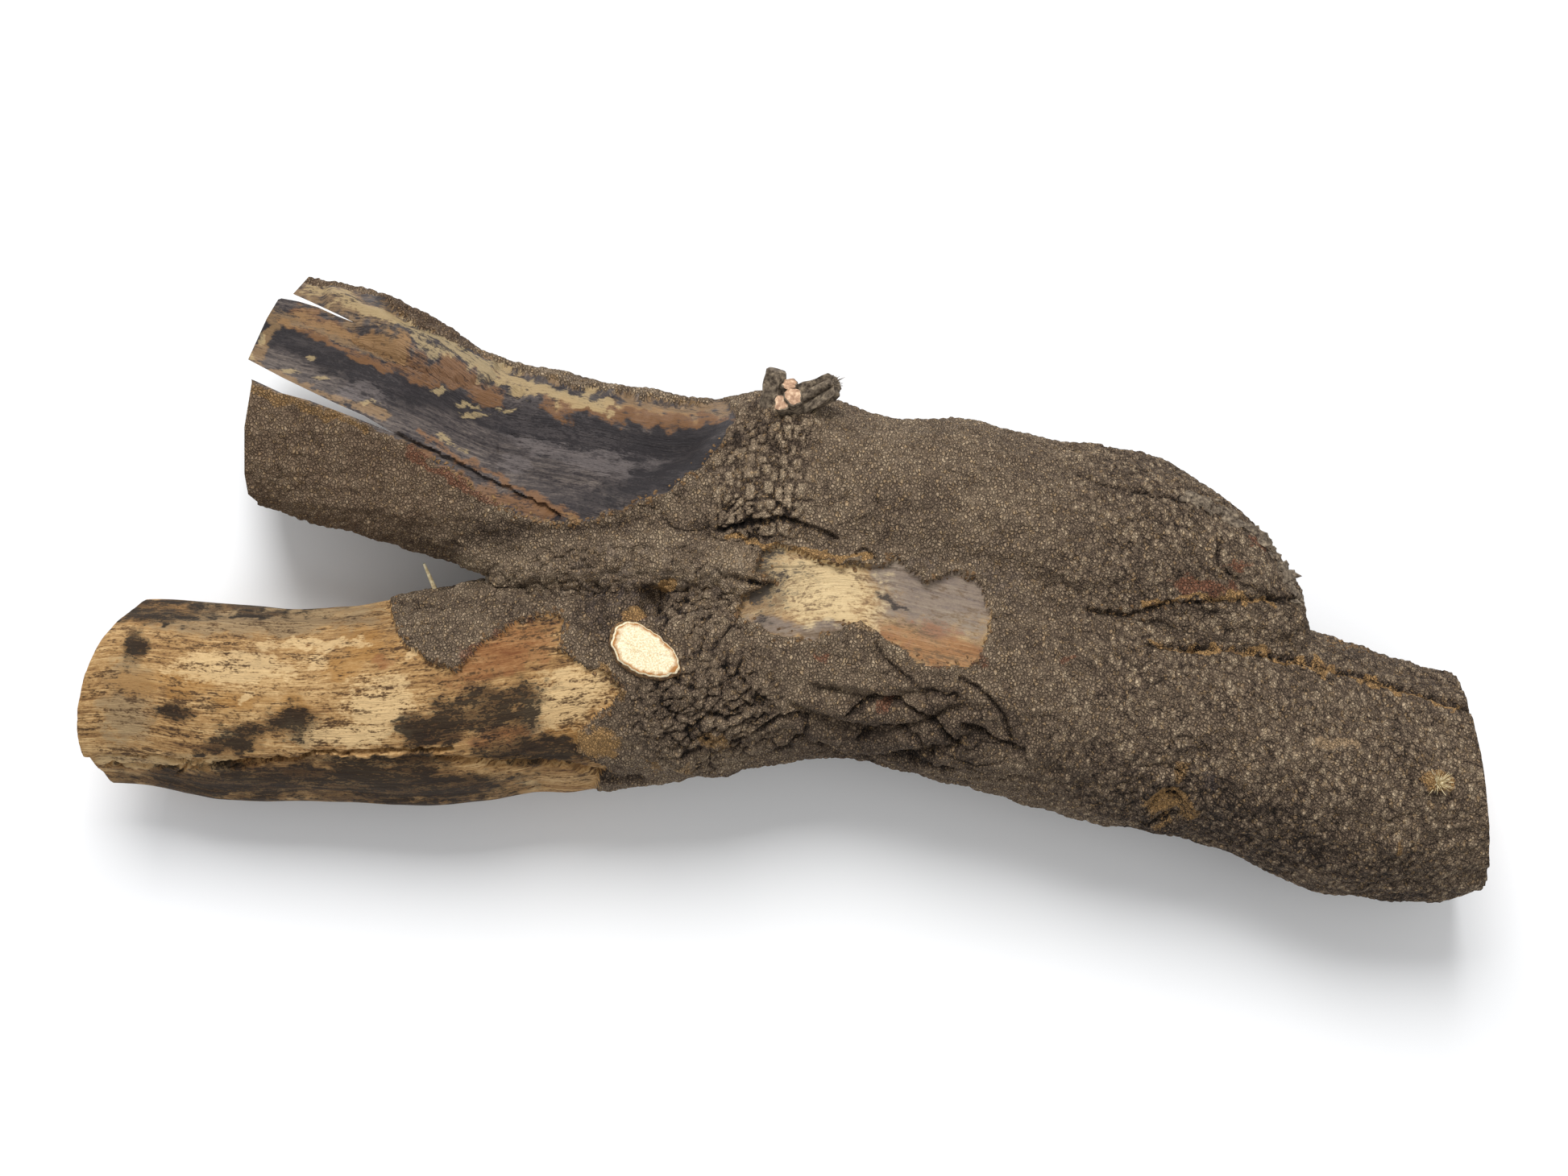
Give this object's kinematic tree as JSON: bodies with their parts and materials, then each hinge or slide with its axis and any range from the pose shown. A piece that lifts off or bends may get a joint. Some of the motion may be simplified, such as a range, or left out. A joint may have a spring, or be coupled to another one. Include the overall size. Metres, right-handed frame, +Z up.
{
  "type": "piece of driftwood",
  "caption": "Forked, weathered piece of driftwood with bark, bare worn wood, a split branch and sawn ends, lying flat on three low spots.",
  "frame": {"origin": "on the resting plane, below the middle of the box round the wood", "axes": "+X along the wood from the bare limb to the thick sawn end, +Y across it towards the branch, +Z up"},
  "size_m": [0.736, 0.3304, 0.1296],
  "materials": {
    "bark": "dry, rough, plated bark, dark grey brown",
    "bare_wood": "worn bare wood, matt, tan to orange brown with dark water stains",
    "stained_wood": "smooth bare wood stained blue grey, matt",
    "sawn_wood": "fresh sawn end grain, matt, cream"
  },
  "bodies": {
    "root": {"driftwood": "bark"}
  },
  "joints": []
}
